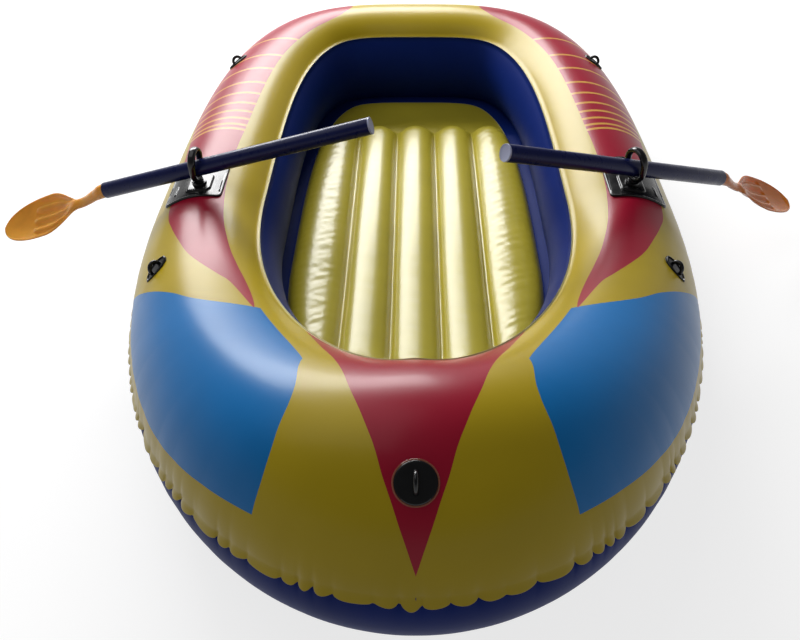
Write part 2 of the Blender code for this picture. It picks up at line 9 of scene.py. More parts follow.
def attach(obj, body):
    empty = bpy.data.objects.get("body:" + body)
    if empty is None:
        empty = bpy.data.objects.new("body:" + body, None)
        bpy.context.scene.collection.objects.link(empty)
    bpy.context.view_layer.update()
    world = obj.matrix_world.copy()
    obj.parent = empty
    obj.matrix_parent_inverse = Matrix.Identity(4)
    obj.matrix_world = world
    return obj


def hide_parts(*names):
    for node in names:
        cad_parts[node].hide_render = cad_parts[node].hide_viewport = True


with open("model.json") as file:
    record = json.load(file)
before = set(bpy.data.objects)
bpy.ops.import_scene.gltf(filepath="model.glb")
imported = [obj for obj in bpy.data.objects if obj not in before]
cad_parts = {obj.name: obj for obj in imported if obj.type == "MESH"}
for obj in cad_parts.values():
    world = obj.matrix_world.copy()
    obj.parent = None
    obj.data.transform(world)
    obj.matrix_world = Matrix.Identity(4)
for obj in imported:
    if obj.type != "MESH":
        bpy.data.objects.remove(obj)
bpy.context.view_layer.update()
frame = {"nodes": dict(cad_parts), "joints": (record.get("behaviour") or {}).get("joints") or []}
joints = {joint["name"]: joint for joint in frame["joints"]}
print("frame loaded:", len(frame["nodes"]), "nodes")

# The tube's middle line, section and seams, the same as in the frame
tube = {
    "halfBeam": 0.4335,
    "bowReach": 0.786,
    "sternReach": 0.982,
    "sternPower": 3.6,
    "bowTaperShare": 0.10,
    "radius": 0.1415,
    "bowRadius": 0.189,
    "bowLift": 0.073,
    "footHalfAngle": 8,
    "outerSeam": 10,
    "innerSeam": 139,
    "skin": 0.0006,
    "filmGap": 0.0003,
    "outerFlange": 0.0115,
    "innerFlange": 0.0032,
    "seamStep": 0.4,
    "columns": 1500,
    "columnsAtGathers": 2.2,
    "topRows": 46,
    "outerRows": 18,
    "innerRows": 25,
}
gathers = {
    "spacing": 0.037,
    "unevenPlace": 0.75,
    "unevenSize": 0.60,
    "placeWaves": 19,
    "sizeWaves": 31,
    "lobe": 0.42,
    "drawn": 0.0040,
    "nick": 0.66,
    "lift": 0.0020,
    "flare": 14,
    "fade": 0.014,
    "longFade": 0.060,
    "longShare": 0.30,
    "longSpacing": 2.3,
    "longUneven": 0.4,
    "longWaves": 13,
    "bowTip": 0.0055,
    "bowTipSpread": 0.008,
    "looseTurn": 0.50,
    "fullTurn": 1.15,
}


def smoothStep(low, high, value):
    share = np.clip((value - low) / (high - low), 0, 1)
    return share * share * (3 - 2 * share)


def ripple(value, seed):
    # A smooth irregular wave about zero, the same on every run.
    total = np.zeros_like(value)
    for i in range(5):
        turn = seed * 1.7 + i * 2.4
        total += np.sin(value * (1 + 0.63 * i) + turn + 1.3 * np.sin(value * 0.41 + turn * 2)) / (1 + 0.5 * i)
    return total / 2.6


# The port half of the middle line, from the bow to the stern
turn = np.linspace(-1, 1, 8001)
lengthways = np.sin(np.pi / 2 * turn)
across = np.maximum(np.cos(np.pi / 2 * turn), 0)
bowX = (1 - tube["bowTaperShare"]) * across + tube["bowTaperShare"] * across**3
sternPower = 2 / tube["sternPower"]
planX = tube["halfBeam"] * np.where(turn < 0, bowX, across**sternPower)
planY = np.where(
    turn < 0, tube["bowReach"] * lengthways, tube["sternReach"] * np.abs(lengthways) ** sternPower
)
planX[[0, -1]] = 0
arc = np.concatenate([[0], np.cumsum(np.hypot(np.diff(planX), np.diff(planY)))])
halfLength = arc[-1]
evenArc = np.linspace(0, halfLength, 4001)
planX = np.interp(evenArc, arc, planX)
planY = np.interp(evenArc, arc, planY)
heading = np.unwrap(np.arctan2(np.gradient(planY), np.gradient(planX)))
heading[0], heading[-1] = 0, np.pi
smoothing = 41
turnRate = np.pad(np.gradient(heading, evenArc), smoothing // 2, mode="edge")
bend = np.convolve(turnRate, np.ones(smoothing) / smoothing, mode="valid")
hullMiddle = (tube["sternReach"] + tube["radius"] - tube["bowReach"] - tube["bowRadius"]) / 2
bowShare = np.clip(-planY / tube["bowReach"], 0, 1) ** 2
ringRadius = tube["radius"] + (tube["bowRadius"] - tube["radius"]) * bowShare
ringHeight = ringRadius * math.cos(math.radians(tube["footHalfAngle"])) + tube["bowLift"] * bowShare
stretch = 1 + bend * (ringRadius + tube["outerFlange"])
outerArc = np.concatenate([[0], np.cumsum((stretch[1:] + stretch[:-1]) / 2 * np.diff(evenArc))])
looseness = smoothStep(gathers["looseTurn"], gathers["fullTurn"], bend)


def onTube(along, side, angle, out=0, up=0):
    # Points at distances from the bow along the middle line and angles round the tube.
    radius = np.interp(along, evenArc, ringRadius) + out
    facing = np.interp(along, evenArc, heading)
    reach = radius * np.cos(angle) - up * np.sin(angle)
    rise = radius * np.sin(angle) + up * np.cos(angle)
    x = side * (np.interp(along, evenArc, planX) + np.sin(facing) * reach)
    y = np.interp(along, evenArc, planY) - hullMiddle - np.cos(facing) * reach
    return np.column_stack([x, y, np.interp(along, evenArc, ringHeight) + rise])


def gatherFold(along, side):
    # One in a crease of the gathered outer seam, and nought on the lobe between two.
    seam = side * np.interp(along, evenArc, outerArc)
    shift = gathers["unevenPlace"] * ripple(seam * gathers["placeWaves"], 1)
    phase = seam / gathers["spacing"] + 0.5 + shift
    growth = gathers["unevenSize"] * ripple(seam * gathers["sizeWaves"], 4)
    size = np.interp(along, evenArc, looseness) * (1 + growth)
    return size * (1 - np.abs(np.sin(np.pi * phase)) ** gathers["lobe"])


def gatherIn(along, side, distance):
    # How far the skin is drawn in, at a distance from the outer seam.
    seam = side * np.interp(along, evenArc, outerArc)
    shift = gathers["longUneven"] * ripple(seam * gathers["longWaves"], 7)
    phase = seam / gathers["spacing"] / gathers["longSpacing"] + shift
    broad = np.abs(np.sin(np.pi * phase))
    slack = np.interp(along, evenArc, looseness)
    near = gatherFold(along, side) * np.exp(-distance / gathers["fade"])
    far = gathers["longShare"] * slack * (1 - broad) * np.exp(-distance / gathers["longFade"])
    return gathers["drawn"] * (near + far)


def seamFlap(along, side, share, lift):
    # The welded flange hangs down from the seam, shorter in each crease: its way out and up.
    fold = gatherFold(along, side)
    tip = gathers["bowTip"] * np.exp(-((along / gathers["bowTipSpread"]) ** 2))
    length = tube["outerFlange"] * (1 - gathers["nick"] * fold) + tip
    flare = np.radians(gathers["flare"])
    run = np.maximum(share, 0) * length
    out = np.where(share < 0, share * tube["outerFlange"], run * np.sin(flare) + lift * np.cos(flare))
    return out, lift * np.sin(flare) - run * np.cos(flare)


def tubeTop(x, y):
    # The height of the tube's upper side over a point of the plan, and its slope there.
    height = np.empty_like(x)
    slant = np.empty_like(x)
    for i, (px, py) in enumerate(zip(np.abs(x), y + hullMiddle)):
        k = np.argmin((planX - px) ** 2 + (planY - py) ** 2)
        reach = (px - planX[k]) * np.sin(heading[k]) - (py - planY[k]) * np.cos(heading[k])
        drop = math.sqrt(max(ringRadius[k] ** 2 - reach**2, 0))
        height[i] = ringHeight[k] + drop
        slant[i] = ringRadius[k] / max(drop, 0.01)
    return height, slant


# Modelling steps that every piece uses


def clearSelection():
    if bpy.context.object and bpy.context.object.mode != "OBJECT":
        bpy.ops.object.mode_set(mode="OBJECT")
    bpy.ops.object.select_all(action="DESELECT")


def onlySelect(piece):
    clearSelection()
    piece.select_set(True)
    bpy.context.view_layer.objects.active = piece


def selectFaces(piece, test):
    # Goes into edit mode with only the faces selected whose middle and normal pass.
    onlySelect(piece)
    bpy.ops.object.mode_set(mode="EDIT")
    bpy.ops.mesh.select_mode(type="FACE")
    bpy.ops.mesh.select_all(action="DESELECT")
    bpy.ops.object.mode_set(mode="OBJECT")
    for face in piece.data.polygons:
        face.select = bool(test(face.center, face.normal))
    bpy.ops.object.mode_set(mode="EDIT")


def applyModifier(piece, kind, **settings):
    onlySelect(piece)
    modifier = piece.modifiers.new(kind.title(), kind)
    for key, value in settings.items():
        setattr(modifier, key, value)
    bpy.ops.object.modifier_apply(modifier=modifier.name)


def roundEdges(piece, width, segments=3):
    sharp = math.radians(30)
    applyModifier(piece, "BEVEL", width=width, segments=segments, limit_method="ANGLE", angle_limit=sharp)


def addCylinder(name, radius, low, high, sides=64, fill="NGON"):
    clearSelection()
    bpy.ops.mesh.primitive_cylinder_add(
        vertices=sides,
        radius=radius,
        depth=high - low,
        end_fill_type=fill,
        location=(0, 0, (low + high) / 2),
    )
    piece = bpy.context.object
    piece.name = name
    bpy.ops.object.transform_apply(location=True, rotation=True, scale=True)
    return piece


def joinPieces(name, pieces):
    clearSelection()
    for piece in pieces:
        piece.select_set(True)
    bpy.context.view_layer.objects.active = pieces[0]
    if len(pieces) > 1:
        bpy.ops.object.join()
    pieces[0].name = name
    return pieces[0]


def settle(piece, place):
    # Moves the mesh to its place, so that the object stays at the origin.
    piece.data.transform(place)
    piece.data.update()
    return piece


def finishPiece(piece, body, material, nodes, angle=None):
    onlySelect(piece)
    if angle:
        bpy.ops.object.shade_smooth_by_angle(angle=math.radians(angle))
    else:
        bpy.ops.object.shade_smooth()
    piece.data.materials.clear()
    piece.data.materials.append(material)
    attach(piece, body)
    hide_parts(*nodes)
    return piece


def layGrid(name, columns, rows, place, flip=False):
    # A grid whose points are laid by place(u, v), with u and v running from 0 to 1.
    clearSelection()
    bpy.ops.mesh.primitive_grid_add(x_subdivisions=columns, y_subdivisions=rows, size=1)
    piece = bpy.context.object
    piece.name = name
    flat = np.empty(len(piece.data.vertices) * 3)
    piece.data.vertices.foreach_get("co", flat)
    points, mapU, mapV = place(flat[0::3] + 0.5, flat[1::3] + 0.5)
    piece.data.vertices.foreach_set("co", points.ravel())
    corners = np.empty(len(piece.data.loops), dtype=np.int32)
    piece.data.loops.foreach_get("vertex_index", corners)
    uv = np.column_stack([mapU[corners], mapV[corners]])
    piece.data.uv_layers[0].data.foreach_set("uv", uv.ravel())
    bpy.ops.object.mode_set(mode="EDIT")
    bpy.ops.mesh.select_all(action="SELECT")
    bpy.ops.mesh.remove_doubles(threshold=0.00004)
    if flip:
        bpy.ops.mesh.flip_normals()
    bpy.ops.object.mode_set(mode="OBJECT")
    piece.data.update()
    return piece


# Materials


class Tree:
    # A material's nodes, with short ways to add and link them.
    def __init__(self, name, roughness, specular=0.4, coat=0.0, coatRoughness=0.1):
        self.material = bpy.data.materials.new(name)
        self.material.use_nodes = True
        self.nodes = self.material.node_tree.nodes
        self.links = self.material.node_tree.links
        self.shader = self.nodes["Principled BSDF"]
        self.shader.inputs["Roughness"].default_value = roughness
        self.shader.inputs["Specular IOR Level"].default_value = specular
        self.shader.inputs["Coat Weight"].default_value = coat
        self.shader.inputs["Coat Roughness"].default_value = coatRoughness

    def add(self, kind, inputs=(), **settings):
        node = self.nodes.new("ShaderNode" + kind)
        for key, value in settings.items():
            setattr(node, key, value)
        for key, value in dict(inputs).items():
            self.feed(node.inputs[key], value)
        return node

    def feed(self, socket, value):
        if isinstance(value, bpy.types.NodeSocket):
            self.links.new(value, socket)
        elif value is not None:
            socket.default_value = value

    def math(self, operation, a, b=None, c=None):
        node = self.add("Math", operation=operation)
        for socket, value in zip(node.inputs, (a, b, c)):
            self.feed(socket, value)
        return node.outputs[0]

    def mix(self, share, first, second):
        node = self.add("Mix", data_type="RGBA")
        self.feed(node.inputs[0], share)
        self.feed(node.inputs[6], first)
        self.feed(node.inputs[7], second)
        return node.outputs[2]

    def noise(self, scale, detail=3.0, roughness=0.55):
        node = self.add("TexNoise", {"Scale": scale, "Detail": detail, "Roughness": roughness})
        self.feed(node.inputs["Vector"], self.add("TexCoord").outputs["Object"])
        return node.outputs["Fac"]

    def ramp(self, value, low, high, outLow=0.0, outHigh=1.0):
        node = self.add("MapRange", {"Value": value, "From Min": low, "From Max": high})
        node.inputs["To Min"].default_value = outLow
        node.inputs["To Max"].default_value = outHigh
        return node.outputs[0]

    def curve(self, value, points, span, reach):
        # A smooth line through points, for values up to span and results up to reach.
        node = self.add("FloatCurve")
        self.feed(node.inputs["Value"], self.math("DIVIDE", value, span))
        knots = node.mapping.curves[0].points
        for i, (x, y) in enumerate(points):
            if i < 2:
                knots[i].location = (x / span, y / reach)
            else:
                knots.new(x / span, y / reach)
        node.mapping.extend = "HORIZONTAL"
        node.mapping.update()
        return self.math("MULTIPLY", node.outputs[0], reach)

    def bump(self, height, distance, strength=1.0, below=None):
        node = self.add("Bump", {"Height": height, "Strength": strength, "Distance": distance})
        if below:
            self.links.new(below.outputs[0], node.inputs["Normal"])
        self.links.new(node.outputs[0], self.shader.inputs["Normal"])
        return node

    def colour(self, value):
        self.feed(self.shader.inputs["Base Color"], value)

    def tinted(self, colour, scale, amount):
        # The colour, a little darker and lighter from place to place.
        dark = [c * (1 - amount) for c in colour] + [1]
        light = [min(c * (1 + amount), 1) for c in colour] + [1]
        return self.mix(self.ramp(self.noise(scale), 0.3, 0.7), dark, light)


vinylColours = {
    "gold": (0.44, 0.318, 0.008),
    "red": (0.340, 0.005, 0.026),
    "blue": (0.002, 0.160, 0.460),
    "stripe": (0.62, 0.320, 0.060),
    "edge": (0.58, 0.55, 0.27),
    "navy": (0.006, 0.019, 0.140),
    "floor": (0.46, 0.385, 0.030),
    "black": (0.005, 0.005, 0.006),
    "film": (0.30, 0.10, 0.055),
}
# Edges of the printed panels: distances from the bow by angle round the tube, or the reverse
prints = {
    "triangleTip": 22,
    "triangle": [
        (22, 0), (39, 0.010), (57, 0.025), (76, 0.049), (94, 0.095), (110, 0.16), (124, 0.26), (139, 0.38),
    ],
    "blueInner": [
        (20, 0.129), (32, 0.130), (49, 0.133), (65, 0.143), (85, 0.166), (102, 0.213), (120, 0.245),
    ],
    "blueAft": [(20, 0.70), (41, 0.655), (68, 0.58), (83, 0.523), (102, 0.475), (120, 0.450)],
    "blueLow": [(0.10, 31.5), (0.18, 29.5), (0.25, 26.5), (0.33, 23.5), (0.45, 22), (0.72, 21)],
    "blueTop": [(0.18, 98), (0.22, 104), (0.27, 109), (0.34, 113.5), (0.42, 116.5), (0.52, 118)],
    "redLow": [
        (0.455, 113), (0.56, 108), (0.60, 101), (0.65, 91), (0.70, 82), (0.76, 74), (0.82, 65.5),
        (0.87, 59), (0.93, 56), (1.09, 51), (1.20, 46), (1.32, 39), (1.50, 33), (2.10, 30),
    ],
    "redTop": [
        (0.455, 113.5), (0.50, 117), (0.57, 118.5), (0.64, 116.5), (0.70, 113.5), (0.757, 111),
        (0.82, 108), (0.90, 105.5), (1.00, 103), (1.10, 102.5), (1.25, 105), (1.60, 107), (1.88, 107.5),
        (1.95, 104), (2.00, 95), (2.03, 80),
    ],
    "redFore": 0.456,
    "redAft": 2.03,
    "stripes": (1.742, 1.625, 1.539, 1.453, 1.391, 1.336, 1.293, 1.256, 1.225, 1.203),
    "stripeMiddle": 1.256,
    "stripeTop": 104,
    "stripeFan": 0.13 / 49,
    "stripeHalfWidth": 0.0047,
}


def addVinylGrain(tree):
    soft = tree.bump(tree.noise(9, 2), 0.0007, 0.6)
    tree.bump(tree.noise(900, 2), 0.00005, 0.5, soft)


def makeHullTop():
    tree = Tree("gold_printed_vinyl", 0.33, specular=0.17, coat=0.06, coatRoughness=0.15)
    uv = tree.add("SeparateXYZ", {"Vector": tree.add("UVMap").outputs[0]})
    fromBow = tree.math("ABSOLUTE", tree.math("SUBTRACT", uv.outputs[0], 0.5))
    along = tree.math("MULTIPLY", fromBow, 2 * halfLength)
    angle = tree.math("MULTIPLY", uv.outputs[1], 180)

    def above(value, limit):
        return tree.math("GREATER_THAN", value, limit)

    def both(*masks):
        total = masks[0]
        for mask in masks[1:]:
            total = tree.math("MULTIPLY", total, mask)
        return total

    triangle = both(
        above(tree.curve(angle, prints["triangle"], 180, 1), along), above(angle, prints["triangleTip"])
    )
    blue = both(
        above(along, tree.curve(angle, prints["blueInner"], 180, 1)),
        above(tree.curve(angle, prints["blueAft"], 180, 1), along),
        above(angle, tree.curve(along, prints["blueLow"], halfLength, 180)),
        above(tree.curve(along, prints["blueTop"], halfLength, 180), angle),
    )
    red = both(
        above(angle, tree.curve(along, prints["redLow"], halfLength, 180)),
        above(tree.curve(along, prints["redTop"], halfLength, 180), angle),
        above(prints["redAft"], along),
        above(along, prints["redFore"]),
    )
    fan = tree.math("MULTIPLY_ADD", tree.math("SUBTRACT", prints["stripeTop"], angle), prints["stripeFan"], 1)
    spread = tree.math("MULTIPLY", tree.math("SUBTRACT", along, prints["stripeMiddle"]), fan)
    stripe = 0.0
    for place in prints["stripes"]:
        offset = place - prints["stripeMiddle"]
        line = tree.math("COMPARE", spread, offset, prints["stripeHalfWidth"])
        stripe = tree.math("ADD", stripe, line)
    stripe = tree.math("MULTIPLY", stripe, red)
    paint = tree.tinted(vinylColours["gold"], 5, 0.05)
    paint = tree.mix(blue, paint, tree.tinted(vinylColours["blue"], 6, 0.05))
    anyRed = tree.math("MAXIMUM", red, triangle)
    paint = tree.mix(anyRed, paint, tree.tinted(vinylColours["red"], 6, 0.06))
    paint = tree.mix(stripe, paint, (*vinylColours["stripe"], 1))
    rim = tree.math("GREATER_THAN", angle, tube["innerSeam"] - 0.3)
    tree.colour(tree.mix(rim, paint, (*vinylColours["edge"], 1)))
    addVinylGrain(tree)
    return tree.material


def makeNavyVinyl():
    tree = Tree("navy_vinyl_skin", 0.46, specular=0.03)
    tree.colour(tree.tinted(vinylColours["navy"], 6, 0.10))
    addVinylGrain(tree)
    return tree.material


def makeFloorVinyl():
    tree = Tree("gold_floor_vinyl", 0.33, specular=0.36, coat=0.18, coatRoughness=0.15)
    uv = tree.add("SeparateXYZ", {"Vector": tree.add("UVMap").outputs[0]})
    paint = tree.tinted(vinylColours["floor"], 7, 0.07)
    fromMiddle = tree.math("ABSOLUTE", tree.math("SUBTRACT", uv.outputs[0], 0.5))
    edge = tree.math("GREATER_THAN", fromMiddle, 0.4975)
    tree.colour(tree.mix(edge, paint, (*vinylColours["edge"], 1)))
    soft = tree.bump(tree.noise(14, 2), 0.0009, 0.5)
    fine = tree.bump(tree.noise(60, 4, 0.6), 0.0003, 0.5, soft)
    tree.bump(tree.noise(900, 2), 0.00005, 0.5, fine)
    return tree.material


def makeBlackVinyl(name, patchRadius=None):
    # Outside the patch's radius shows the brown edge of the film that it is welded with.
    tree = Tree(name, 0.20, specular=0.28, coat=0.12, coatRoughness=0.06)
    paint = tree.tinted(vinylColours["black"], 30, 0.25)
    if patchRadius:
        middle = tree.add("VectorMath", operation="DISTANCE")
        tree.feed(middle.inputs[0], tree.add("UVMap").outputs[0])
        tree.feed(middle.inputs[1], (0.5, 0.5, 0))
        edge = tree.math("GREATER_THAN", middle.outputs["Value"], patchRadius)
        paint = tree.mix(edge, paint, (*vinylColours["film"], 1))
    tree.colour(paint)
    tree.feed(tree.shader.inputs["Roughness"], tree.ramp(tree.noise(40), 0.3, 0.7, 0.17, 0.27))
    tree.bump(tree.noise(500, 2), 0.00006, 0.5)
    return tree.material


def makePlastic(name, colour, roughness, specular=0.45, amount=0.06):
    tree = Tree(name, roughness, specular=specular)
    tree.colour(tree.tinted(colour, 25, amount))
    spread = tree.ramp(tree.noise(55), 0.3, 0.7, roughness * 0.8, roughness * 1.2)
    tree.feed(tree.shader.inputs["Roughness"], spread)
    tree.bump(tree.noise(420, 3), 0.00004, 0.5)
    return tree.material


def makeBladePlastic(name, colour):
    tree = Tree(name, 0.24, specular=0.24, coat=0.12, coatRoughness=0.08)
    tree.shader.inputs["Transmission Weight"].default_value = 0.03
    tree.shader.inputs["Subsurface Weight"].default_value = 0.25
    tree.shader.inputs["Subsurface Radius"].default_value = (0.012, 0.005, 0.002)
    tree.shader.inputs["Subsurface Scale"].default_value = 1.0
    tree.colour(tree.tinted(colour, 30, 0.08))
    tree.bump(tree.noise(300, 3), 0.00008, 0.5)
    return tree.material


hullTopVinyl = makeHullTop()
navyVinyl = makeNavyVinyl()
floorVinyl = makeFloorVinyl()
blackVinyl = makeBlackVinyl("black_vinyl_fitting")
loopPlastic = makePlastic("black_moulded_plastic", (0.006, 0.006, 0.008), 0.20)
shaftPlastic = makePlastic("navy_shaft_plastic", (0.006, 0.010, 0.070), 0.30, specular=0.22)
capPlastic = makePlastic("grey_cap_plastic", (0.40, 0.43, 0.60), 0.5, amount=0.04)
print("materials made")


# The hull's two skins


def columnPlaces():
    # Distances from the bow for the grid's columns, closer together where the seam gathers.
    weight = stretch * (1 + tube["columnsAtGathers"] * looseness)
    total = np.concatenate([[0], np.cumsum((weight[1:] + weight[:-1]) / 2 * np.diff(evenArc))])
    return np.interp(np.linspace(0, total[-1], tube["columns"] // 2 + 1), total, evenArc)


def layRing(name, rows, nearSeam, flip=False):
    # Rows hold an angle in degrees, a share of the flange's width, a lift off its weld, and the
    # angle by which the prints are mapped.
    table = np.array(rows, dtype=float)
    half = columnPlaces()

    def place(u, v):
        step = np.rint(u * tube["columns"]).astype(int) - tube["columns"] // 2
        along = half[np.abs(step)]
        side = np.where(step < 0, -1.0, 1.0)
        row = np.rint(v * (len(table) - 1)).astype(int)
        angle = np.radians(table[row, 0])
        radius = np.interp(along, evenArc, ringRadius)
        distance = np.abs(nearSeam - table[row, 0]) * math.pi / 180 * radius
        flapOut, flapUp = seamFlap(along, side, table[row, 1], table[row, 2])
        outer = distance < 0.001
        out = np.where(outer, flapOut, table[row, 1] * tube["innerFlange"])
        up = np.where(outer, flapUp, table[row, 2])
        out = out - gatherIn(along, side, distance)
        rising = gatherFold(along, side) * np.exp(-distance / gathers["fade"])
        up = up + gathers["lift"] * rising
        foot = np.abs(table[row, 0] - 270)
        flat = foot < tube["footHalfAngle"]
        chord = math.cos(math.radians(tube["footHalfAngle"])) / np.cos(np.radians(foot))
        out = np.where(flat, radius * (chord - 1), out)
        points = onTube(along, side, angle, out, up)
        return points, 0.5 + side * along / halfLength / 2, table[row, 3] / 180

    return layGrid(name, tube["columns"], len(rows) - 1, place, flip)


def flangeRows(angle, upper):
    # From the weld out along the hidden face, round the tip, and back along the shown one.
    thin, thick = tube["filmGap"] * upper, (tube["filmGap"] + tube["skin"]) * upper
    hidden = [(angle, share, thin, angle) for share in (-0.3, 0.93)]
    shown = [(angle, share, thick, angle) for share in (0.97, 0.85, 0.68, 0.5, 0.32, 0.14)]
    return [*hidden, (angle, 1, (thin + thick) / 2, angle), *shown]


def sectionRows(first, last, near, count):
    # Angles from the gathered seam on, close together at first.
    share = np.linspace(0, 1, count + 1)[1:]
    eased = near * share + (1 - near) * share**2.2
    return [(first + (last - first) * s, 0, 0, first + (last - first) * s) for s in eased]


def buildSkins():
    outer, inner, step = tube["outerSeam"], tube["innerSeam"], tube["seamStep"]
    rows = flangeRows(outer, 1)
    rows += sectionRows(outer + step, inner - step, 0.30, tube["topRows"])
    rows += flangeRows(inner, -1)[::-1]
    top = layRing("hullTopSkin", rows, outer)
    finishPiece(top, "hull", hullTopVinyl, ["hull_top_skin"])

    foot = tube["footHalfAngle"]
    rows = flangeRows(outer + 360, -1)
    rows += sectionRows(outer + 360, 270 + foot, 0.4, tube["outerRows"])
    rows += [(270 + share * foot, 0, 0, 0) for share in (0.5, 0, -0.5, -1)]
    wall = np.linspace(270 - foot, inner + step, tube["innerRows"] + 1)[1:]
    rows += [(angle, 0, 0, 0) for angle in wall]
    rows += flangeRows(inner, 1)[::-1]
    # This skin has no print, so its map runs evenly from seam to seam
    rows = [(*row[:3], 20 + 0.4 * (row[0] - inner)) for row in rows]
    bottom = layRing("hullBottomSkin", rows, outer + 360, flip=True)
    finishPiece(bottom, "hull", navyVinyl, ["hull_bottom_skin"])


buildSkins()
print("hull skins laid")


# The air floor

floor = {
    "channels": 5,
    "height": 0.045,
    "crown": 0.030,
    "inset": 0.146,
    "margin": 0.066,
    "channelWidth": 0.106,
    "weldLimit": 0.240,
    "sternHem": 0.170,
    "bowHem": 0.080,
    "channelEnd": 0.060,
    "sternRound": 0.030,
    "weld": 0.0022,
    "channelSteps": 28,
    "rows": 330,
    "wrinkle": 0.0005,
    "outerWrinkle": 0.0013,
}


def layFloorSheet(name, side, shift, wide):
    # Channels side by side, swelling up on side 1 and down on side -1.
    channels = floor["channels"]
    inset = floor["inset"] - (floor["margin"] if wide else 0)
    seam = planX - np.sin(heading) * floor["inset"]
    outlineX = np.maximum(planX - np.sin(heading) * inset, 0)
    outlineY = planY + np.cos(heading) * inset
    order = np.argsort(outlineY)
    seamY = planY + np.cos(heading) * floor["inset"]
    seamOrder = np.argsort(seamY)
    first = -tube["bowReach"] + floor["inset"] + floor["bowHem"]
    last = tube["sternReach"] - floor["inset"] - floor["sternHem"]
    steps = floor["channelSteps"]
    columns = channels * steps + (2 if wide else 0)

    def place(u, v):
        ease = (1 - np.cos(np.pi * v)) / 2
        y = outlineY[0] + (outlineY[-1] - outlineY[0]) * ease
        width = np.interp(y, outlineY[order], outlineX[order])
        quilt = np.maximum(np.interp(y, seamY[seamOrder], np.maximum(seam, 0)[seamOrder]), 0)
        column = np.rint(u * columns).astype(int) - (1 if wide else 0)
        channel = np.clip(column // steps, 0, channels - 1)
        share = np.clip(2 * (column - channel * steps) / steps - 1, -1, 1)
        pinch = np.minimum(1, quilt / floor["weldLimit"])
        between = [floor["channelWidth"] * pinch * (k - channels / 2) for k in range(1, channels)]
        welds = np.array([-quilt, *between, quilt])
        pick = np.arange(len(y))
        left, right = welds[channel, pick], welds[channel + 1, pick]
        half = np.maximum((right - left) / 2 - floor["weld"] / 2, 0)
        bulge = np.clip(share * 1.04, -1, 1)
        x = (left + right) / 2 + (right - left) / 2 * share
        reach = np.minimum(y - first, last - y)
        rounding = np.where(last - y < y - first, floor["sternRound"], 0.0) * share**2
        swell = np.sqrt(1 - (1 - np.clip((reach - rounding) / floor["channelEnd"], 0, 1)) ** 2)
        rise = floor["crown"] * swell * np.sqrt(1 - bulge**2)
        outerOnes = (channel == 0) | (channel == channels - 1)
        size = np.where(outerOnes, floor["outerWrinkle"], floor["wrinkle"])
        ends = 1 + 1.2 * np.exp(-np.abs(reach) / 0.07)
        flank = bulge**2 * (1 - bulge**8)
        crest = size * swell * (1 - bulge**2)
        # Slanting wrinkles on the flanks, long ones on the crests, and more on the outer channels
        slanted = y * 260 + share * (3 + channel) + channel * 9
        wrinkle = size * ends * swell * flank * ripple(slanted, 3)
        wrinkle += 0.35 * crest * ripple(y * 95 + channel * 5 + share * 2, 8)
        wrinkle += np.where(outerOnes, 0.5 * crest * ripple(y * 210 - share * 7, 5), 0)
        outside = (column < 0) | (column > channels * steps)
        x = np.where(outside, np.sign(u - 0.5) * width, x)
        rise = np.where(outside | (half < 0.001), 0, rise + wrinkle * (rise > 0))
        lift = floor["height"] + tube["bowLift"] * np.clip(-y / tube["bowReach"], 0, 1) ** 2
        points = np.column_stack([x, y - hullMiddle, lift + shift + side * rise])
        return points, 0.5 + x / np.maximum(2 * width, 0.02), v

    return layGrid(name, columns, floor["rows"], place, flip=side < 0)


def buildFloor():
    top = layFloorSheet("floorTopSheet", 1, 0.0007, False)
    finishPiece(top, "hull", floorVinyl, ["floor_top_sheet"])
    bottom = layFloorSheet("floorBottomSheet", -1, -0.0002, True)
    finishPiece(bottom, "hull", navyVinyl, ["floor_bottom_sheet"])


buildFloor()
print("floor laid")


# Oarlock pads and loops

pad = {
    "width": 0.122,
    "fore": 0.045,
    "aft": 0.115,
    "crown": 0.045,
    "corner": 0.012,
    "outset": 0.010,
    "thickness": 0.0042,
    "edge": 0.0016,
    "border": 0.0045,
    "borderDrop": 0.0006,
    # Raised shapes: across (outboard), along, width, length, corner, height, slope out and in
    "relief": [
        (0, 0.004, 0.052, 0.064, 0.012, 0.0034, 0.0012, -0.0022),
        (-0.046, -0.004, 0.005, 0.042, 0.0024, 0.0016, 0.0008, -0.0014),
        (0.052, -0.002, 0.005, 0.036, 0.0024, 0.0014, 0.0008, -0.0014),
    ],
    "bossRadius": 0.015,
    "bossHeight": 0.012,
    "collarWidth": 0.004,
    "collarHeight": 0.0009,
    "socketRadius": 0.0050,
    "socketDepth": 0.010,
}
loop = {
    "bar": 0.0178,
    "bore": 0.0215,
    "thickness": 0.011,
    "width": 0.016,
    "bandFrom": -0.55,
    "bandTo": 0.5,
    "squareness": 0.28,
    "straight": 0.010,
    "pinRadius": 0.0045,
    "pinGap": 0.0015,
    "collarRadius": 0.010,
    "collarGap": 0.0012,
}


def overTube(flat, lift):
    height, slant = tubeTop(flat[:, 0], flat[:, 1])
    return np.column_stack([flat, height + lift * slant])


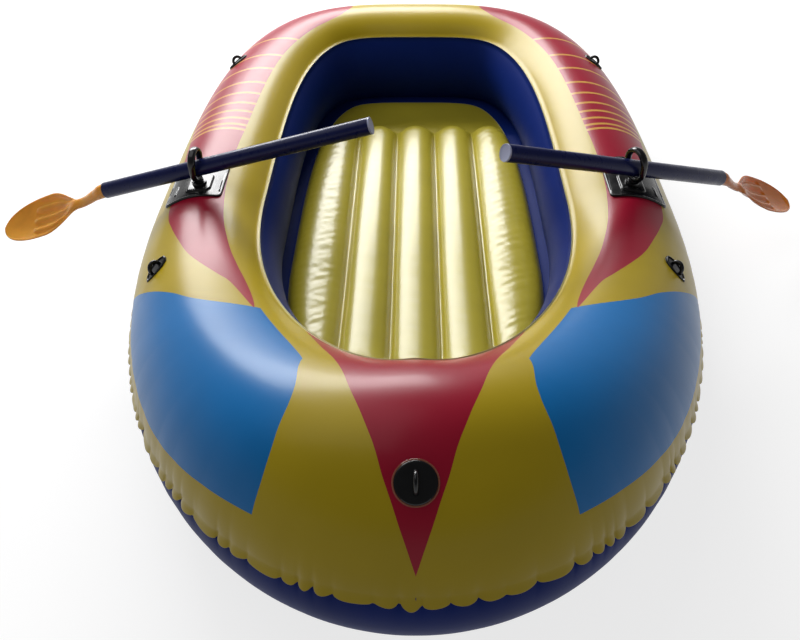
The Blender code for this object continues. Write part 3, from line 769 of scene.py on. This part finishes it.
def drape(name, outline, centre, rows, sectors, rowLifts, surface, relief=None):
    # A closed sheet over a surface: from the middle of its underside to its outline and back.
    # Each row near the outline has an inset from it and a lift off the surface.
    corners = np.array(outline)
    closed = np.vstack([corners, corners[:1]])
    walk = np.concatenate([[0], np.cumsum(np.hypot(*np.diff(closed, axis=0).T))])
    middle = np.array(centre)
    insets = np.array([inset for inset, lift in rowLifts])
    lifts = np.array([lift for inset, lift in rowLifts])
    below = 6
    count = below + len(rowLifts) + rows

    def place(u, v):
        spot = u * walk[-1]
        rim = np.column_stack([np.interp(spot, walk, closed[:, k]) for k in (0, 1)])
        spoke = middle - rim
        length = np.hypot(*spoke.T)
        row = np.rint(v * (count - 1)).astype(int) - below
        border = insets[np.clip(row, 0, len(insets) - 1)] / length
        share = np.where(row < 0, -row / below, np.maximum(row - len(insets) + 1, 0) / rows)
        inward = border + (1 - border) * share
        flat = rim + spoke * inward[:, None]
        lift = lifts[np.clip(row, 0, len(lifts) - 1)].copy()
        if relief:
            lift += relief(flat[:, 0], flat[:, 1]) * (row >= len(insets) - 1)
        return surface(flat, lift), flat[:, 0] + 0.5, flat[:, 1] + 0.5

    return layGrid(name, sectors, count - 1, place)


def arcPoints(centre, radiusX, radiusY, first, last, steps):
    turns = np.radians(np.linspace(first, last, steps))
    return [(centre[0] + radiusX * math.cos(t), centre[1] + radiusY * math.sin(t)) for t in turns]


def roundBox(x, y, width, length, corner):
    # Distance inside (negative) or outside a rectangle with round corners.
    dx = np.abs(x) - width / 2 + corner
    dy = np.abs(y) - length / 2 + corner
    outside = np.hypot(np.maximum(dx, 0), np.maximum(dy, 0))
    return outside + np.minimum(np.maximum(dx, dy), 0) - corner


def buildPad(label, side):
    foot = Vector(joints["loop_swivel_" + label]["pos_m"])
    half = pad["width"] / 2
    shift = side * pad["outset"]
    low = pad["corner"] - pad["fore"]
    outline = arcPoints((shift, pad["aft"] - pad["crown"]), half, pad["crown"], 0, 180, 40)
    outline += arcPoints((shift - half + pad["corner"], low), pad["corner"], pad["corner"], 180, 270, 8)
    outline += arcPoints((shift + half - pad["corner"], low), pad["corner"], pad["corner"], 270, 360, 8)
    outline = [(foot.x + x, foot.y + y) for x, y in outline]
    thick, edge = pad["thickness"], pad["edge"]
    skirt = [(0, -0.001), (0, thick - edge), (edge * 0.3, thick - edge * 0.3), (edge, thick)]
    border, sunk = pad["border"], thick - pad["borderDrop"]
    skirt += [(border, thick), (border + 0.001, sunk), (border + 0.002, sunk)]

    def relief(x, y):
        rise = np.zeros_like(x)
        for across, along, width, length, corner, height, low, high in pad["relief"]:
            inside = roundBox(x - foot.x - side * across, y - foot.y - along, width, length, corner)
            rise += height * smoothStep(low, high, inside)
        return rise

    base = drape("pad", outline, (foot.x + shift * 0.5, foot.y + 0.012), 60, 200, skirt, overTube, relief)

    boss = addCylinder("boss", pad["bossRadius"], 0, pad["bossHeight"])
    selectFaces(boss, lambda centre, normal: normal.z > 0.9)
    bpy.ops.mesh.inset(thickness=pad["bossRadius"] - pad["socketRadius"] - pad["collarWidth"])
    bpy.ops.mesh.extrude_region_move(TRANSFORM_OT_translate={"value": (0, 0, pad["collarHeight"])})
    bpy.ops.mesh.inset(thickness=pad["collarWidth"])
    bpy.ops.mesh.extrude_region_move(TRANSFORM_OT_translate={"value": (0, 0, -pad["socketDepth"])})
    bpy.ops.object.mode_set(mode="OBJECT")
    roundEdges(boss, 0.0008)
    settle(boss, Matrix.Translation(foot))
    return joinPieces("oarlockPad_" + label, [base, boss])


def buildLoop(label):
    swivel = joints["loop_swivel_" + label]
    shaftAxis = Vector(joints["blade_pull_off_" + label]["axis"])
    reach = loop["bore"] + loop["thickness"] / 2
    clearSelection()
    bpy.ops.mesh.primitive_torus_add(
        major_segments=96,
        minor_segments=24,
        major_radius=reach,
        minor_radius=loop["thickness"] / 2,
        rotation=(0, math.pi / 2, 0),
    )
    band = bpy.context.object
    bpy.ops.object.transform_apply(location=True, rotation=True, scale=True)
    # Round bar where the shaft rocks, and a wider band above it
    for vertex in band.data.vertices:
        high = float(smoothStep(loop["bandFrom"] * reach, loop["bandTo"] * reach, vertex.co.z))
        across = vertex.co.x / (loop["thickness"] / 2)
        half = (loop["thickness"] + (loop["width"] - loop["thickness"]) * high) / 2
        vertex.co.x = half * math.copysign(abs(across) ** (1 - loop["squareness"] * high), across)
        if vertex.co.z > 0.0001:
            vertex.co.z += loop["straight"]
    settle(band, Matrix.Translation((0, 0, loop["bar"] + reach)))
    low = pad["bossHeight"] + loop["collarGap"]
    collar = addCylinder("collar", loop["collarRadius"], low, loop["bar"])
    roundEdges(collar, 0.0010)
    end = pad["bossHeight"] - pad["socketDepth"] + loop["pinGap"]
    pin = addCylinder("pin", loop["pinRadius"], end, low + 0.001)
    roundEdges(pin, 0.0006)
    piece = joinPieces("oarlockLoop_" + label, [band, collar, pin])
    turned = Matrix.Rotation(math.atan2(shaftAxis.y, shaftAxis.x), 4, "Z")
    return settle(piece, Matrix.Translation(swivel["pos_m"]) @ turned)


for label, side in (("port", 1), ("starboard", -1)):
    finishPiece(
        buildPad(label, side), "hull", blackVinyl, ["oarlock_pad_" + label], angle=40
    )
    finishPiece(
        buildLoop(label), "oarlock_loop_" + label, loopPlastic,
        ["oarlock_loop_" + label], angle=40,
    )
print("oarlocks made")


# Rope holders and the tow eye on the bow

fitting = {
    "angle": 57,
    "skew": 45,
    "stations": {"front": -0.275, "rear": 0.635},
    "length": 0.060,
    "width": 0.030,
    "point": 0.40,
    "eyeRadius": 0.029,
    "height": 0.0044,
    "edge": 0.0016,
    "rim": 0.0040,
    "dish": 0.0018,
    "patchWidth": 0.0019,
    "patch": 0.0010,
    # Eyes: span, rise and radius of the bar
    "holderEye": (0.024, 0.0125, 0.0036),
    "towEye": (0.026, 0.0165, 0.0034),
    "sunk": 0.0004,
}
patchVinyl = makeBlackVinyl("black_vinyl_patch", fitting["eyeRadius"] - fitting["patchWidth"])


def fittingPlace(along, side, turned):
    # Z points out of the tube, X runs along it and Y up its side, and then the piece is turned.
    facing = np.interp(along, evenArc, heading)
    angle = math.radians(fitting["angle"])
    outward = Vector((side * math.sin(facing), -math.cos(facing), 0))
    normal = outward * math.cos(angle) + Vector((0, 0, math.sin(angle)))
    lengthwise = Vector((0, 0, 1)).cross(outward)
    basis = Matrix((lengthwise, normal.cross(lengthwise), normal)).transposed().to_4x4()
    spot = Matrix.Translation(onTube(np.array([along]), side, angle)[0])
    return spot @ basis @ Matrix.Rotation(turned, 4, "Z")


def buildFitting(name, along, side, turned, outline, rowLifts, eye):
    # A moulded base that follows the tube, with a low eye of round bar standing on it.
    radius = np.interp(along, evenArc, ringRadius)
    leaning = math.cos(math.radians(fitting["angle"]))
    bent = np.interp(along, evenArc, bend)
    lengthBend = leaning * bent / (1 + bent * radius * leaning)

    def overSeat(flat, lift):
        x = flat[:, 0] * math.cos(turned) - flat[:, 1] * math.sin(turned)
        y = flat[:, 0] * math.sin(turned) + flat[:, 1] * math.cos(turned)
        return np.column_stack([flat, lift - x**2 * lengthBend / 2 - y**2 / radius / 2])

    base = drape("base", outline, (0, 0), 14, 96, rowLifts, overSeat)
    span, rise, bar = eye
    clearSelection()
    bpy.ops.mesh.primitive_torus_add(
        major_segments=64,
        minor_segments=20,
        major_radius=span / 2,
        minor_radius=bar,
        rotation=(math.pi / 2, 0, 0),
    )
    arch = bpy.context.object
    bpy.ops.object.transform_apply(location=True, rotation=True, scale=True)
    bpy.ops.object.mode_set(mode="EDIT")
    bpy.ops.mesh.select_all(action="SELECT")
    bpy.ops.mesh.bisect(plane_co=(0, 0, 0), plane_no=(0, 0, 1), use_fill=True, clear_inner=True)
    bpy.ops.object.mode_set(mode="OBJECT")
    for vertex in arch.data.vertices:
        vertex.co.z *= 2 * rise / span
    # The eye is all black, so it is mapped to the middle of the base
    for corner in arch.data.uv_layers[0].data:
        corner.uv = (0.5, 0.5)
    foot = fitting["height"] - fitting["dish"] - fitting["sunk"]
    settle(arch, Matrix.Translation((0, 0, foot)))
    piece = joinPieces(name, [base, arch])
    return settle(piece, fittingPlace(along, side, turned))


def buildFittings():
    height, edge = fitting["height"], fitting["edge"]
    rim = [(0, -0.001), (0, height - edge), (edge * 0.3, height - edge * 0.3), (edge, height)]
    dished = [*rim, (fitting["rim"] * 0.7, height), (fitting["rim"], height - fitting["dish"])]
    outline = []
    for x, y in arcPoints((0, 0), fitting["length"] / 2, 1, 0, 360, 97)[:-1]:
        outline.append((x, fitting["width"] / 2 * y * abs(y) ** fitting["point"]))
    for where, y in fitting["stations"].items():
        along = evenArc[np.argmin(np.abs(planY - y))]
        for label, side in (("port", 1), ("starboard", -1)):
            name = f"ropeHolder_{where}_{label}"
            turned = side * math.radians(fitting["skew"])
            piece = buildFitting(name, along, side, turned, outline, dished, fitting["holderEye"])
            node = f"rope_holder_{where}_{label}"
            finishPiece(piece, "hull", blackVinyl, [node], angle=40)
    disc = arcPoints((0, 0), fitting["eyeRadius"], fitting["eyeRadius"], 0, 360, 97)[:-1]
    patch, wide = fitting["patch"], fitting["patchWidth"]
    stepped = [(0, -0.001), (0, patch * 0.6), (0.0004, patch), (wide, patch)]
    stepped += [(inset + wide + 0.0002, lift) for inset, lift in rim[1:]]
    piece = buildFitting("bowTowEye", 0.0, 1, math.pi / 2, disc, stepped, fitting["towEye"])
    finishPiece(piece, "hull", patchVinyl, ["bow_tow_eye"], angle=40)


buildFittings()
print("fittings made")


# Oars

oar = {
    "radius": 0.017,
    "wall": 0.002,
    "length": 0.600,
    "inboard": {"port": 0.342, "starboard": 0.388},
    "feather": {"port": 20, "starboard": -25},
    "rocking": 0.0007,
    "capThickness": 0.0035,
    "capStub": 0.018,
    "capRim": 0.0022,
    "capDish": 0.0006,
    "stub": 0.040,
    "neckLength": 0.085,
    "neckWidth": 0.024,
    "neckDepth": 0.020,
    "neckEnd": 0.015,
    "neckDrop": 0.022,
    "bladeLength": 0.215,
    "bladeWidth": 0.108,
    "bladeThickness": 0.0030,
    "bowlDepth": 0.011,
    "ribHeight": 0.0026,
    "ribCount": 4,
    "ribShare": 0.62,
    "widest": 0.42,
    "rootShare": 0.20,
    "rake": 7,
    "lip": 0.0016,
    "spineHalfWidth": 0.0125,
    "spineShare": 0.34,
    "gap": 0.0003,
    "bladeColumns": 220,
    "bladeAround": 160,
}
# Both blades are one amber plastic: the port colour is darker and redder as painted shade, and the starboard
# colour is lighter as painted light.
bladeLitAndShadedColours = {"port": (0.72, 0.190, 0.002), "starboard": (0.90, 0.38, 0.045)}


def oarPlace(label):
    # X runs outboard along the shaft, from the middle of the loop's lowest bar.
    dip = joints["oar_dip_" + label]
    xAxis = Vector(joints["blade_pull_off_" + label]["axis"])
    yAxis = Vector(dip["axis"])
    zAxis = xAxis.cross(yAxis)
    basis = Matrix((xAxis, yAxis, zAxis)).transposed().to_4x4()
    lift = loop["thickness"] / 2 + oar["rocking"] + oar["radius"]
    return Matrix.Translation(dip["pos_m"]) @ basis @ Matrix.Translation((0, 0, lift))


def buildShaft(label):
    shaft = addCylinder("shaft", oar["radius"], 0, oar["length"], sides=72, fill="NOTHING")
    applyModifier(shaft, "SOLIDIFY", thickness=oar["wall"], offset=-1)
    roundEdges(shaft, 0.0006, 2)
    turned = Matrix.Rotation(math.pi / 2, 4, "Y")
    settle(shaft, oarPlace(label) @ Matrix.Translation((-oar["inboard"][label], 0, 0)) @ turned)
    shaft.name = "oarShaft_" + label
    return shaft


def buildCap(label):
    bore = oar["radius"] - oar["wall"] - oar["gap"]
    cap = addCylinder("cap", oar["radius"], -oar["capThickness"] - oar["gap"], -oar["gap"], sides=72)
    selectFaces(cap, lambda centre, normal: normal.z > 0.9)
    bpy.ops.mesh.inset(thickness=oar["radius"] - bore)
    bpy.ops.mesh.extrude_region_move(TRANSFORM_OT_translate={"value": (0, 0, oar["capStub"])})
    selectFaces(cap, lambda centre, normal: normal.z < -0.9)
    bpy.ops.mesh.inset(thickness=oar["capRim"])
    bpy.ops.mesh.extrude_region_move(TRANSFORM_OT_translate={"value": (0, 0, oar["capDish"])})
    bpy.ops.object.mode_set(mode="OBJECT")
    roundEdges(cap, 0.0007)
    turned = Matrix.Rotation(math.pi / 2, 4, "Y")
    settle(cap, oarPlace(label) @ Matrix.Translation((-oar["inboard"][label], 0, 0)) @ turned)
    cap.name = "oarEndCap_" + label
    return cap


def buildBlade(label):
    # Round stub, neck cranked down, then the grooved bowl of the leaf with its raised lip.
    stub = oar["radius"] - oar["wall"] - oar["gap"]
    total = oar["stub"] + oar["neckLength"] + oar["bladeLength"]

    def place(u, v):
        row = u * total - oar["stub"]
        neck = smoothStep(0, 1, row / oar["neckLength"])
        leafStep = np.clip((row - oar["neckLength"]) / oar["bladeLength"], 0, 1)
        leaf = np.where(u > 0.9999, 1.0, np.sin(np.pi / 2 * leafStep))
        fade = smoothStep(0, oar["rootShare"], leaf)
        x = np.where(row < oar["neckLength"], row, oar["neckLength"] + oar["bladeLength"] * leaf)
        flare = (1 - np.cos(np.pi * np.clip(leaf / oar["widest"], 0, 1) ** 0.78)) / 2
        tip = np.clip((leaf - oar["widest"]) / (1 - oar["widest"]), 0, 1)
        wide = oar["neckWidth"] / 2 + (oar["bladeWidth"] - oar["neckWidth"]) / 2 * flare
        narrowing = oar["bladeWidth"] / 2 * np.sqrt(np.maximum(1 - tip**2.4, 0))
        wide = np.where(leaf > oar["widest"], narrowing, wide)
        half = np.where(leaf > 0, wide, stub + (oar["neckWidth"] / 2 - stub) * neck)
        thick = 2 * stub + (oar["neckDepth"] - 2 * stub) * smoothStep(0, 0.35, neck)
        thick += (oar["neckEnd"] - oar["neckDepth"]) * smoothStep(0.35, 1, neck)
        even = 1 - 2 * np.abs(2 * (v - np.floor(v + 1e-9)) - 1)
        share = -np.cos(2 * np.pi * v) * (1 - fade) + even * fade
        rim = np.maximum(1 - share**2, 0) ** (0.5 - 0.28 * fade)
        spine = smoothStep(oar["spineHalfWidth"] * 1.5, oar["spineHalfWidth"] * 0.6, np.abs(half * share))
        spine *= 1 - smoothStep(0.02, oar["spineShare"], leaf)
        sheet = oar["bladeThickness"] + (oar["neckEnd"] - oar["bladeThickness"]) * spine
        thick = np.where(leaf > 0, sheet, thick)
        grooveEnd = leaf / oar["ribShare"] + 0.10 * share**2
        grooved = smoothStep(0.08, 0.26, leaf) * smoothStep(1.02, 0.93, grooveEnd)
        wave = np.cos(2 * np.pi * oar["ribCount"] * (share + 1) / 2)
        wave = np.sign(wave) * np.abs(wave) ** 0.8 * smoothStep(0.98, 0.84, np.abs(share))
        depth = oar["bowlDepth"] * np.sin(np.pi * leaf**0.85) * smoothStep(0, 0.16, leaf)
        lipZone = smoothStep(0.84, 0.93, np.abs(share)) * fade + smoothStep(0.92, 0.98, leaf)
        drop = oar["neckDrop"] * neck + oar["bladeLength"] * leaf * math.tan(math.radians(oar["rake"]))
        middle = depth * (share**2 - 1) + oar["ribHeight"] * grooved * wave - drop
        face = np.where(v <= 0.5, 1, -1)
        z = middle + face * rim * (thick / 2 + oar["lip"] * np.minimum(lipZone, 1) * (leaf > 0))
        closing = (u < 0.0001) | (u > 0.9999)
        y = np.where(closing, 0, half * share)
        z = np.where(closing, np.where(u < 0.5, 0, -drop), z)
        return np.column_stack([x, y, z]), u, v

    piece = layGrid("oarBlade_" + label, oar["bladeColumns"], oar["bladeAround"], place)
    root = Matrix.Translation((oar["length"] - oar["inboard"][label] + oar["gap"], 0, 0))
    feather = Matrix.Rotation(math.radians(oar["feather"][label]), 4, "X")
    return settle(piece, oarPlace(label) @ root @ feather)


for label in ("port", "starboard"):
    body = "oar_" + label
    finishPiece(
        buildShaft(label), body, shaftPlastic, ["oar_shaft_" + label], angle=40
    )
    finishPiece(
        buildCap(label), body, capPlastic, ["oar_end_cap_" + label], angle=40
    )
    # Each blade gets its own copy of the amber plastic, darker on port with painted shade and lighter on
    # starboard with painted light.
    bladePlastic = makeBladePlastic("amber_plastic_painted_light_" + label, bladeLitAndShadedColours[label])
    finishPiece(
        buildBlade(label), "oar_blade_" + label, bladePlastic,
        ["oar_blade_" + label],
    )
print("oars made")


# CAD nodes that stay get the same finishes

for name, material in (
    ("bow_bulkhead", navyVinyl),
    ("stern_bulkhead", navyVinyl),
    ("hull_valve_port", blackVinyl),
    ("hull_valve_starboard", blackVinyl),
    ("hull_valve_plug_port", blackVinyl),
    ("hull_valve_plug_starboard", blackVinyl),
    ("floor_valve", blackVinyl),
    ("floor_valve_plug", blackVinyl),
):
    frame["nodes"][name].data.materials.clear()
    frame["nodes"][name].data.materials.append(material)


# Stage, lamps and camera

stage = {
    "floorSize": 24,
    "floorColour": (0.35, 0.35, 0.35, 1),
    "floorShown": 0.76,
    "horizon": 0.66,
    "zenith": 0.13,
    "wallTop": 0.10,
    "ceiling": 0.50,
    "windowPower": 158,
    "overheadPower": 18,
}


def buildStage():
    clearSelection()
    bpy.ops.mesh.primitive_plane_add(size=stage["floorSize"], location=(0, 0, -0.0005))
    ground = bpy.context.object
    ground.name = "studioFloor"
    tree = Tree("pale_floor", 0.9, specular=0.0)
    tree.colour(stage["floorColour"])
    rays = tree.add("LightPath").outputs
    seen = tree.math("MAXIMUM", rays["Is Camera Ray"], rays["Is Glossy Ray"])
    seen = tree.math("MAXIMUM", seen, rays["Is Transmission Ray"])
    tree.shader.inputs["Emission Color"].default_value = (1, 1, 1, 1)
    tree.feed(tree.shader.inputs["Emission Strength"], tree.math("MULTIPLY", seen, stage["floorShown"]))
    ground.data.materials.append(tree.material)

    # Pale walls all round, and a dimmer ceiling
    world = bpy.data.worlds.new("studio")
    bpy.context.scene.world = world
    world.use_nodes = True
    nodes, links = world.node_tree.nodes, world.node_tree.links
    parts = nodes.new("ShaderNodeSeparateXYZ")
    links.new(nodes.new("ShaderNodeTexCoord").outputs["Generated"], parts.inputs[0])
    level = nodes.new("ShaderNodeMapRange")
    level.interpolation_type = "SMOOTHSTEP"
    links.new(parts.outputs[2], level.inputs["Value"])
    level.inputs["From Min"].default_value = stage["wallTop"]
    level.inputs["From Max"].default_value = stage["ceiling"]
    level.inputs["To Min"].default_value = stage["horizon"]
    level.inputs["To Max"].default_value = stage["zenith"]
    links.new(level.outputs[0], nodes["Background"].inputs["Strength"])
    nodes["Background"].inputs["Color"].default_value = (1, 1, 1, 1)


def addLamp(name, place, target, width, height, power):
    data = bpy.data.lights.new(name, "AREA")
    data.shape = "RECTANGLE"
    data.size = width
    data.size_y = height
    data.energy = power
    lamp = bpy.data.objects.new(name, data)
    bpy.context.scene.collection.objects.link(lamp)
    lamp.location = place
    lamp.rotation_euler = (Vector(target) - Vector(place)).to_track_quat("-Z", "Y").to_euler()


# Fitted to the photograph, whose frame is 800 by 640: lens and shifts are in its pixels
view = {
    "frame": 800,
    "lens": 820,
    "shiftX": -15.796,
    "shiftY": 7.538,
    "sensor": 36,
    "back": 1.4933,
    "height": 1.2092,
    "tilt": 41.88,
}


def addCamera():
    data = bpy.data.cameras.new("photoCamera")
    data.sensor_width = view["sensor"]
    data.lens = view["lens"] / view["frame"] * view["sensor"]
    data.shift_x = view["shiftX"] / view["frame"]
    data.shift_y = view["shiftY"] / view["frame"]
    camera = bpy.data.objects.new("photoCamera", data)
    bpy.context.scene.collection.objects.link(camera)
    camera.location = (0, -view["back"] - hullMiddle, view["height"])
    camera.rotation_euler = (math.radians(90 - view["tilt"]), 0, 0)
    bpy.context.scene.camera = camera


buildStage()
addLamp("sternWindow", (-0.95, 2.9, 1.8), (0, 0, 0.2), 2.7, 1.2, stage["windowPower"])
addLamp("overhead", (-1.1, 0.3, 2.7), (0, -0.1, 0.1), 2.2, 2.2, stage["overheadPower"])
addCamera()
bpy.context.scene.view_settings.view_transform = "Standard"
print("stage set")
